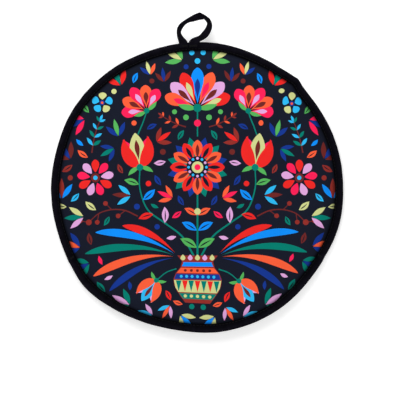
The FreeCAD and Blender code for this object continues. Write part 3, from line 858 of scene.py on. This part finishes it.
def filler(spot, room, place):
    """What fills a bare spot: a sprig, a veined leaf, a dot or a plain leaf."""
    ink = FILLERS[place % len(FILLERS)]
    way = math.degrees(np.angle(spot)) + FILLER_TURNS[place % len(FILLER_TURNS)]
    size = 1.38 * min(room, MOST_ROOM)
    root = at(spot, way, -size / 2)
    if room > SPRIG_ROOM:
        beside = FILLERS[(place + 7) % len(FILLERS)]
        return sprig(root, way, size, (beside, ink, beside))
    if room > LEAF_ROOM:
        return veined_leaf(root, way, size, size * 0.44, ink, 20)
    if place % 3:
        return [(dot(spot, 0.4 * room), ink)]
    return [(leaf(root, way, size, size * 0.4, 24), ink)]


def fill_gaps(motifs):
    """Motifs for the bare places of the right half, the widest place first."""
    side = np.arange(-144, 145, 3.0)
    spots = (side[:, None] * 1j + side[side > 2]).ravel()
    spots = spots[np.abs(spots) < 143]
    room = narrow(spots.real + 1, spots, motifs)
    added = []
    for place in range(400):
        widest = int(np.argmax(room))
        if room[widest] < LEAST_ROOM:
            break
        new = filler(spots[widest], room[widest], place)
        room = narrow(room, spots, new)
        room[widest] = 0
        added += new
    return added


def folk_print():
    """Every outline of the print with its ink, the lowest layer first."""
    middle = middle_motifs()
    right = right_motifs()
    right += fill_gaps(middle + right)
    left = [(-np.conj(outline), ink) for outline, ink in right]
    return right + left + middle


def print_plan():
    """The printed panel, flat: points, faces, edge and each face's ink."""
    points, loops, inks = [], [], []
    for outline, ink in folk_print():
        held = outline[np.abs(outline) < PAD_EDGE - 0.6]
        if len(held) < 3:
            continue
        area = np.sum(held.real * np.roll(held.imag, -1) - held.imag * np.roll(held.real, -1))
        if area < 0:
            held = held[::-1]
        loops.append(list(range(len(points), len(points) + len(held))))
        points.extend(held)
        inks.append(linear(ink))
    edge_count = 360
    edge_points = PAD_EDGE * np.exp(2j * np.pi * np.arange(edge_count) / edge_count)
    points.extend(edge_points)
    coarse, fine = 5.5, 3.2
    rings = (np.arange(4, 110, coarse), np.arange(112, 142, 2.3), (FLANGE_START, STITCH_RADIUS))
    for radius in np.concatenate(rings):
        count = int(max(8, 2 * math.pi * radius / (coarse if radius < 110 else fine)))
        points.extend(radius * np.exp(2j * np.pi * (np.arange(count) + 0.5) / count))
    flat = [Vector((point.real, point.imag)) for point in points]
    made = delaunay_2d_cdt(flat, [], loops, 0, 1e-4, True)
    xy = np.array([tuple(v) for v in made[0]])
    faces = [tuple(face) for face in made[2]]
    face_inks = [inks[max(origin)] if origin else linear(GROUND) for origin in made[5]]
    outer = np.flatnonzero(np.hypot(xy[:, 0], xy[:, 1]) > PAD_EDGE - 0.01)
    around = np.arctan2(xy[outer, 1], xy[outer, 0])
    edge = [int(v) for v in outer[np.argsort(around)]]
    return (xy, faces, edge), face_inks


# ---------------------------------------------------------------- panels
def covers(material, field):
    """The two printed covers, upper and lower, cut from the same cloth."""
    plan, inks = print_plan()
    xy = plan[0]
    radius = np.hypot(xy[:, 0], xy[:, 1])
    rise = pucker(field, xy)
    top = puffed_face(radius, UPPER_FACE) + rise
    under = puffed_face(radius, UPPER_FACE, -CLOTH) + rise
    upper = lay_cloth("upper_printed_cover", plan, top, under, material, True, inks)
    sole = sole_face(radius)
    lower = lay_cloth("lower_printed_cover", plan, sole + CLOTH, sole, material, False, inks)
    return upper, lower


def soft_layers(fill, lining, field):
    """The two pads of wadding, and the two linings, which hang a little slack inside the pocket."""
    plan = disc_plan(PANEL_SPOKES)
    xy = plan[0]
    radius = np.hypot(xy[:, 0], xy[:, 1])
    into_roof = slack(xy) + quilting(radius)
    into_floor = slack(xy) - quilting(radius)

    def roof(lift=0.0):
        return puffed_face(radius, ROOF_FACE, lift) + into_roof

    def floor(lift=0.0):
        return puffed_face(radius, FLOOR_FACE, lift) + into_floor

    top = puffed_face(radius, UPPER_FACE, -STEP) + pucker(field, xy)
    # the pad lies a little deeper where the cover folds over it as the mouth opens
    near_fold = FOLD_ROOM * smooth_step(-xy[:, 1], *FOLD_ROOM_AHEAD)
    top -= near_fold * (1 - smooth_step(radius, *FOLD_ROOM_FADE))
    return (
        lay_cloth("upper_wadding_pad", plan, top, roof(STEP), fill, True),
        lay_cloth("lower_wadding_pad", plan, floor(-STEP), sole_face(radius) + STEP, fill),
        lay_cloth("upper_cotton_lining", plan, roof(CLOTH), roof(), lining, True),
        lay_cloth("lower_cotton_lining", plan, floor(), floor(-CLOTH), lining),
    )


# ---------------------------------------------------------------- bound edges
def fold_path(low, high, inset):
    """The tape's outer (inset 0) or inner face, from its upper edge round the fold to its lower one."""
    middle = (low + high) / 2
    half = (high - low) / 2 - inset
    reach = 0.85 * (high - low) / 2 + 0.6 - inset * 0.6
    fold_start = POUCH_RADIUS - inset - reach
    flat = [(TAPE_INSIDE, half), (TAPE_INSIDE + 0.7, half), (STITCH_RADIUS, half - 0.08)]
    if inset == 0:
        flat = [(TAPE_INSIDE, half - 0.22), (TAPE_INSIDE + 0.35, half + 0.02), (STITCH_RADIUS, half - 0.14)]
    flat.append(((STITCH_RADIUS + fold_start) / 2, half + (0.12 if inset == 0 else 0)))
    turns = np.radians(np.linspace(90, 0, 7))
    arc = [(fold_start + reach * math.cos(t), half * math.sin(t)) for t in turns]
    upper = flat + arc
    lower = [(r, -z) for r, z in reversed(upper[:-1])]
    return np.array([(r, middle + z) for r, z in upper + lower])


def bound_edge(name, span, turns, material, ends, rough, upper=False):
    """Tape folded over the rim from one angle to another, uneven as sewn tape is.

    ends gives how much further out and further apart its faces stand near its two ends, and over
    what length.
    """
    outwards, upwards, run = ends
    outer, inner = fold_path(*span, 0.0), fold_path(*span, TAPE_THICKNESS)
    middle, half = (span[0] + span[1]) / 2, (span[1] - span[0]) / 2
    across = np.concatenate([[0], np.cumsum(np.hypot(*np.diff(outer, axis=0).T))])
    first, last = np.radians(turns)
    count = int((last - first) * POUCH_RADIUS / TAPE_STEP)
    points, course = [], []
    for turn in np.linspace(first, last, count + 1):
        along = turn * POUCH_RADIUS
        from_end = POUCH_RADIUS * min(turn - first, last - turn)
        grow = 1 - smooth_step(from_end, run, run + END_RAMP)
        for path in (outer, inner[::-1]):
            for (r, z), way in zip(path, across if path is outer else across[::-1]):
                wave = noise.noise(Vector((along / LUMP_LENGTH, way / LUMP_WIDTH, span[1])))
                drift = noise.noise(Vector((along / DRIFT_LENGTH, 5.1, span[0])))
                reach = r + rough * wave * 0.8 + 0.5 * drift * (r < STITCH_RADIUS + 1)
                reach += grow * outwards * (r - TAPE_INSIDE) / (POUCH_RADIUS - TAPE_INSIDE)
                height = z + rough * 0.5 * wave + grow * upwards * (z - middle) / half
                points.append((reach * math.cos(turn), reach * math.sin(turn), height))
                course.append((along, way, 0.0))
    ring = 2 * len(outer)
    faces = tube_faces(count, ring)
    for step, turned in ((0, True), (count, False)):
        for place in range(len(outer) - 1):
            cap = [step * ring + v for v in (place, place + 1, ring - 2 - place, ring - 1 - place)]
            faces.append(tuple(cap if turned else reversed(cap)))
    piece = make_piece(name, settle(points, upper), faces, material)
    mark_points(piece, "tape_course", course)
    return piece


def model_stitch():
    """One stitch, lying along X and 1 mm long: a rod that narrows where it dives into the tape."""
    bpy.ops.object.select_all(action="DESELECT")
    bpy.ops.mesh.primitive_cylinder_add(
        vertices=6, radius=0.5, depth=1.0, end_fill_type="TRIFAN", rotation=(0, math.pi / 2, 0)
    )
    rod = bpy.context.object
    bpy.ops.object.transform_apply(location=True, rotation=True, scale=True)
    bpy.ops.object.mode_set(mode="EDIT")
    bpy.ops.mesh.select_all(action="SELECT")
    bpy.ops.mesh.bisect(plane_co=(0.3, 0, 0), plane_no=(1, 0, 0))
    bpy.ops.mesh.select_all(action="SELECT")
    bpy.ops.mesh.bisect(plane_co=(-0.3, 0, 0), plane_no=(1, 0, 0))
    bpy.ops.mesh.select_mode(type="VERT")
    bpy.ops.mesh.select_all(action="DESELECT")
    bpy.ops.object.mode_set(mode="OBJECT")
    for vertex in rod.data.vertices:
        vertex.select = abs(vertex.co.x) > 0.45
    bpy.ops.object.mode_set(mode="EDIT")
    bpy.ops.transform.resize(value=(1.0, 0.45, 0.45), center_override=(0, 0, 0))
    bpy.ops.transform.translate(value=(0, 0, -0.3))
    bpy.ops.object.mode_set(mode="OBJECT")
    shape = np.array([v.co for v in rod.data.vertices])
    faces = [tuple(p.vertices) for p in rod.data.polygons]
    bpy.data.objects.remove(rod)
    return shape, faces


STITCH = model_stitch()


def sew(name, stitches, material, upper=False):
    """Copies the stitch along each line, given by its two ends, its thickness and up or down."""
    shape, shape_faces = STITCH
    points, faces = [], []
    for first, last, thick, rise in stitches:
        first, last = np.array(first), np.array(last)
        length = np.linalg.norm(last - first)
        way = (last - first) / length
        side = np.cross((0, 0, rise), way)
        side /= np.linalg.norm(side)
        local = shape * (length, thick, thick)
        start = len(points) * len(shape)
        points.append((first + last) / 2 + local @ np.array([way, side, np.cross(way, side)]))
        faces += [tuple(v + start for v in face) for face in shape_faces]
    return make_piece(name, settle(np.vstack(points), upper), faces, material)


def rim_spot(turn, reach, height):
    """The place at an angle in degrees, a distance from the middle and a height."""
    return (reach * math.cos(math.radians(turn)), reach * math.sin(math.radians(turn)), height)


def round_stitches(first, last, height, rise):
    """A row of stitches that follows the binding."""
    count = int(math.radians(last - first) * STITCH_RADIUS / STITCH_PITCH)
    half = math.degrees(STITCH_LENGTH / 2 / STITCH_RADIUS)
    rows = []
    for place in range(count):
        turn = first + (last - first) * (place + 0.5) / count
        ends = [rim_spot(turn + off, STITCH_RADIUS, height) for off in (-half, half)]
        rows.append((*ends, ROW_THREAD, rise))
    return rows


def zigzag_stitches(first, last, tape_height, cloth_height, rise):
    """A zigzag to and fro over the tape's raw edge, between the tape and the lining."""
    tape_height += ZIGZAG_LIFT * rise
    cloth_height += ZIGZAG_LIFT * rise
    count = 2 * int(math.radians(last - first) * TAPE_INSIDE / ZIGZAG_PITCH)
    turns = np.linspace(first, last, count + 1)
    reaches = (TAPE_INSIDE + ZIGZAG_ON_TAPE, TAPE_INSIDE - ZIGZAG_ON_CLOTH)
    heights = (tape_height, cloth_height)
    spots = [rim_spot(turn, reaches[place % 2], heights[place % 2]) for place, turn in enumerate(turns)]
    return [(here, after, ZIGZAG_THREAD, rise) for here, after in zip(spots, spots[1:])]


def bar_tack(middle, heading, size, rise=1):
    """Close parallel stitches across one short bar."""
    length, width = size
    count = max(4, round(length / TACK_PITCH))
    ahead = np.array([math.cos(math.radians(heading)), math.sin(math.radians(heading)), 0])
    across = np.array([-ahead[1], ahead[0], 0]) * width / 2
    rows = []
    for place in range(count):
        spot = np.array(middle) + ahead * ((place + 0.5) / count - 0.5) * length
        rows.append((spot - across, spot + across, TACK_THREAD, rise))
    return rows


# ---------------------------------------------------------------- the hanging loop
# the tape's two edges from its right foot round to its left one, seen from above: outer x and y,
# inner x and y
LOOP_EDGES = (
    (-0.4, 145.0, -9.6, 145.6),
    (0.4, 148.0, -9.5, 149.0),
    (1.4, 150.2, -8.4, 152.4),
    (3.6, 152.0, -4.9, 155.2),
    (7.0, 153.8, 1.6, 157.7),
    (10.4, 156.4, 5.0, 161.5),
    (13.0, 160.2, 7.6, 164.6),
    (14.8, 165.2, 9.4, 167.8),
    (14.9, 169.8, 10.2, 170.6),
    (12.8, 174.6, 9.4, 172.6),
    (10.4, 176.7, 8.0, 174.4),
    (8.6, 178.0, 7.2, 175.3),
    (6.8, 179.2, 6.3, 175.2),
    (4.6, 180.5, 4.6, 174.7),
    (2.4, 181.7, 2.6, 174.3),
    (-0.2, 180.9, -0.6, 173.5),
    (-3.8, 179.2, -4.3, 172.6),
    (-9.6, 175.7, -8.6, 172.0),
    (-14.6, 172.4, -12.5, 169.9),
    (-18.4, 169.4, -15.4, 166.4),
    (-21.0, 165.0, -17.1, 163.2),
    (-21.4, 160.4, -17.3, 160.0),
    (-20.8, 155.6, -14.6, 156.0),
    (-19.7, 150.8, -10.9, 152.2),
    (-19.0, 148.2, -10.2, 148.8),
    (-18.9, 145.0, -9.9, 145.0),
)
LOOP_STEPS = 5
# how far across the loop's course lies, in half widths, so that none of it gets the tape's painted crease
# shade
LOOP_CLEAR = 4
# a tape folded in two, as shares of its half width across and of its half thickness out: a round
# fold on the outer side, two leaves that part on the inner one
LOOP_SECTION = (
    (-1.0, 0.0),
    (-0.97, -0.8),
    (-0.84, -1.0),
    (-0.4, -0.92),
    (0.4, -0.92),
    (0.82, -1.0),
    (0.98, -0.85),
    (1.0, -0.35),
    (0.84, 0.0),
    (0.97, 0.35),
    (0.94, 0.85),
    (0.78, 1.0),
    (0.4, 0.92),
    (-0.4, 0.92),
    (-0.84, 1.0),
    (-0.97, 0.8),
)


def hanging_loop(material):
    """One length of folded tape, from its sewn right foot round the loop to its left one.

    Where its edges lie closer together than the tape is wide, it stands on edge, the outer one up.
    """
    edges = through(np.array(LOOP_EDGES), LOOP_STEPS)
    outer, inner = edges[:, :2], edges[:, 2:]
    shown = np.linalg.norm(inner - outer, axis=1)
    rise = np.sqrt(np.maximum(LOOP_WIDTH**2 - shown**2, 0)) / 2
    high = np.column_stack([outer, LOOP_Z + rise])
    low = np.column_stack([inner, LOOP_Z - rise])
    line, wide = (high + low) / 2, (low - high) / 2
    deep = np.cross(np.gradient(line, axis=0), wide)
    deep *= LOOP_TAPE / 2 / np.linalg.norm(deep, axis=1)[:, None]
    run = np.concatenate([[0], np.cumsum(np.linalg.norm(np.diff(line, axis=0), axis=1))])
    points, course = [], []
    for spot, breadth, depth, along in zip(line, wide, deep, run):
        for across, out in LOOP_SECTION:
            points.append(spot + breadth * across + depth * out)
            way = LOOP_WIDTH / 2 * (across + math.copysign(1, out) + LOOP_CLEAR)
            course.append((along, way, 0.0))
    ring = len(LOOP_SECTION)
    faces = tube_faces(len(line) - 1, ring)
    last = (len(line) - 1) * ring
    faces.append(tuple(range(ring - 1, -1, -1)))
    faces.append(tuple(range(last, last + ring)))
    piece = make_piece("hanging_loop_tape", points, faces, material)
    mark_points(piece, "tape_course", course)
    return piece


# ---------------------------------------------------------------- table, light and camera
# the table's width and how far under the pouch it lies, in metres
TABLE_SIZE = 12.0
TABLE_DROP = 0.0004


def table():
    """A white table top under the pouch."""
    bpy.ops.object.select_all(action="DESELECT")
    bpy.ops.mesh.primitive_plane_add(size=TABLE_SIZE, location=(0, 0, -TABLE_DROP))
    top = bpy.context.object
    top.name = "table_top"
    bpy.ops.object.transform_apply(location=True, rotation=True, scale=True)
    top.data.materials.append(pale_table())


def soft_box(name, place, size, watts):
    """A square lamp that faces the pouch."""
    lamp = bpy.data.lights.new(name, "AREA")
    lamp.size = size
    lamp.energy = watts
    stand = bpy.data.objects.new(name, lamp)
    stand.location = place
    stand.rotation_euler = (-Vector(place)).to_track_quat("-Z", "Y").to_euler()
    bpy.context.scene.collection.objects.link(stand)


def studio():
    """Soft studio light: a key box behind the loop, which lights that side most, a fill box at the
    right, a low box in front, which lights the open mouth, and a white room.
    """
    soft_box("key_box", (-0.3, 0.95, 1.0), 1.2, 15.5)
    soft_box("fill_box", (1.7, -0.7, 1.8), 1.8, 10.0)
    soft_box("front_box", (-0.4, -2.0, 1.0), 1.6, 16.0)
    world = bpy.data.worlds.new("white_room")
    world.use_nodes = True
    tree = world.node_tree
    tree.nodes.clear()
    rays = add_node(tree, "LightPath")
    seen = {0: rays.outputs["Is Camera Ray"], 1: rays.outputs["Is Glossy Ray"]}
    seen = add_node(tree, "Math", seen, operation="MAXIMUM")
    level = add_node(tree, "MapRange", {"Value": seen.outputs[0], "To Min": 0.36, "To Max": 1.0})
    sky = add_node(tree, "Background", {"Color": (1, 1, 1, 1), "Strength": level.outputs[0]})
    add_node(tree, "OutputWorld", {"Surface": sky.outputs[0]})
    bpy.context.scene.world = world


IMAGE_PIXELS = 400
PIXEL_MM = 1.0453
CENTRE_PIXEL = (197.5, 186.5)
RIM_HEIGHT = 10.0
CAMERA_DISTANCE = 2600.0
SENSOR = 36.0


def camera():
    """A long lens straight above the pouch, with the loop at the top of the picture."""
    lens = bpy.data.cameras.new("camera")
    lens.sensor_width = SENSOR
    lens.lens = SENSOR * CAMERA_DISTANCE / (IMAGE_PIXELS * PIXEL_MM)
    lens.clip_start, lens.clip_end = 0.1, 50.0
    view = bpy.data.objects.new("camera", lens)
    x = (IMAGE_PIXELS / 2 - CENTRE_PIXEL[0]) * PIXEL_MM
    y = -(IMAGE_PIXELS / 2 - CENTRE_PIXEL[1]) * PIXEL_MM
    view.location = (x * MM, y * MM, (CAMERA_DISTANCE + RIM_HEIGHT) * MM)
    bpy.context.scene.collection.objects.link(view)
    bpy.context.scene.camera = view


# ---------------------------------------------------------------- putting it together
bpy.context.scene.view_settings.view_transform = "Standard"

cover_cloth = printed_polyester()
cotton = natural_cotton()
wadding = fibre_wadding()
tape = black_tape()
thread = black_thread()

rises = np.zeros((len(PUCKER_RINGS), PUCKER_SPOKES))
rises = simulate_puckers()

upper_cover, lower_cover = covers(cover_cloth, rises)
upper_pad, lower_pad, upper_lining, lower_lining = soft_layers(wadding, cotton, rises)

RIGHT_CORNER = -MOUTH_CORNER
LEFT_CORNER = 180 + MOUTH_CORNER
seam_ends = (RIGHT_CORNER - SEAM_LAP, LEFT_CORNER + SEAM_LAP)
tucked_ends = (LEFT_CORNER - LIP_TUCK, 360 + RIGHT_CORNER + LIP_TUCK)
seam_tape = bound_edge("seam_binding_tape", SEAM_SPAN, seam_ends, tape, LAPPING, SEAM_ROUGH)
upper_lip_tape = bound_edge(
    "upper_lip_tape", UPPER_LIP_SPAN, tucked_ends, tape, TUCKED, LIP_ROUGH, upper=True
)
lower_lip_tape = bound_edge("lower_lip_tape", LOWER_LIP_SPAN, tucked_ends, tape, TUCKED, LIP_ROUGH)

seam_rows = round_stitches(RIGHT_CORNER, LEFT_CORNER, SEAM_SPAN[1], 1)
seam_rows += round_stitches(RIGHT_CORNER, LEFT_CORNER, SEAM_SPAN[0], -1)
seam_stitches = sew("seam_stitches", seam_rows, thread)
lip_ends = (LEFT_CORNER + ROW_STOP, 360 + RIGHT_CORNER - ROW_STOP)
upper_rows = round_stitches(*lip_ends, UPPER_LIP_SPAN[1], 1)
roof_height = puffed_face(TAPE_INSIDE - ZIGZAG_ON_CLOTH, ROOF_FACE)
upper_rows += zigzag_stitches(*lip_ends, UPPER_LIP_SPAN[0], float(roof_height), -1)
upper_lip_stitches = sew("upper_lip_stitches", upper_rows, thread, True)
lower_rows = round_stitches(*lip_ends, LOWER_LIP_SPAN[0], -1)
floor_height = puffed_face(TAPE_INSIDE - ZIGZAG_ON_CLOTH, FLOOR_FACE)
lower_rows += zigzag_stitches(*lip_ends, LOWER_LIP_SPAN[1], float(floor_height), 1)
lower_lip_stitches = sew("lower_lip_stitches", lower_rows, thread)

tack_heights = ((SEAM_SPAN[1] + CORNER_TACK_ABOVE, 1), (SEAM_SPAN[0] - CORNER_TACK_BELOW, -1))
corner_rows = []
for side in (-1, 1):
    turn = 90 + side * (90 + MOUTH_CORNER - CORNER_TACK_TURN)
    for height, rise in tack_heights:
        corner_rows += bar_tack(rim_spot(turn, CORNER_TACK_REACH, height), turn, CORNER_TACK, rise)
corner_tacks = sew("mouth_corner_tacks", corner_rows, thread)

loop_tape = hanging_loop(tape)
foot_top = LOOP_Z + LOOP_TAPE / 2 + FOOT_TACK_LIFT
foot_rows = []
for x, y, heading in FOOT_TACKS:
    foot_rows += bar_tack((x, y, foot_top), heading, FOOT_TACK)
loop_tacks = sew("loop_end_tacks", foot_rows, thread)

for piece in (lower_cover, lower_pad, lower_lining, seam_tape, lower_lip_tape):
    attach(piece, "pouch")
for piece in (seam_stitches, lower_lip_stitches, corner_tacks, loop_tacks):
    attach(piece, "pouch")
for piece in (upper_cover, upper_pad, upper_lining, upper_lip_tape, upper_lip_stitches):
    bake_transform(piece)
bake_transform(loop_tape)

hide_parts("upper_cover", "flap_cover")
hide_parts("lower_cover")
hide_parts("upper_wadding", "flap_wadding")
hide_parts("lower_wadding")
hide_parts("upper_lining", "flap_lining")
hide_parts("lower_lining")
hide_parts("seam_binding")
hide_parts("upper_lip_binding")
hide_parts("lower_lip_binding")
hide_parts("seam_stitching")
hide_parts("upper_lip_stitching")
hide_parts("lower_lip_stitching")
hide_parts("mouth_bar_tacks")
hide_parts("hanging_loop", "loop_ends")
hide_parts("loop_bar_tacks")

table()
studio()
camera()
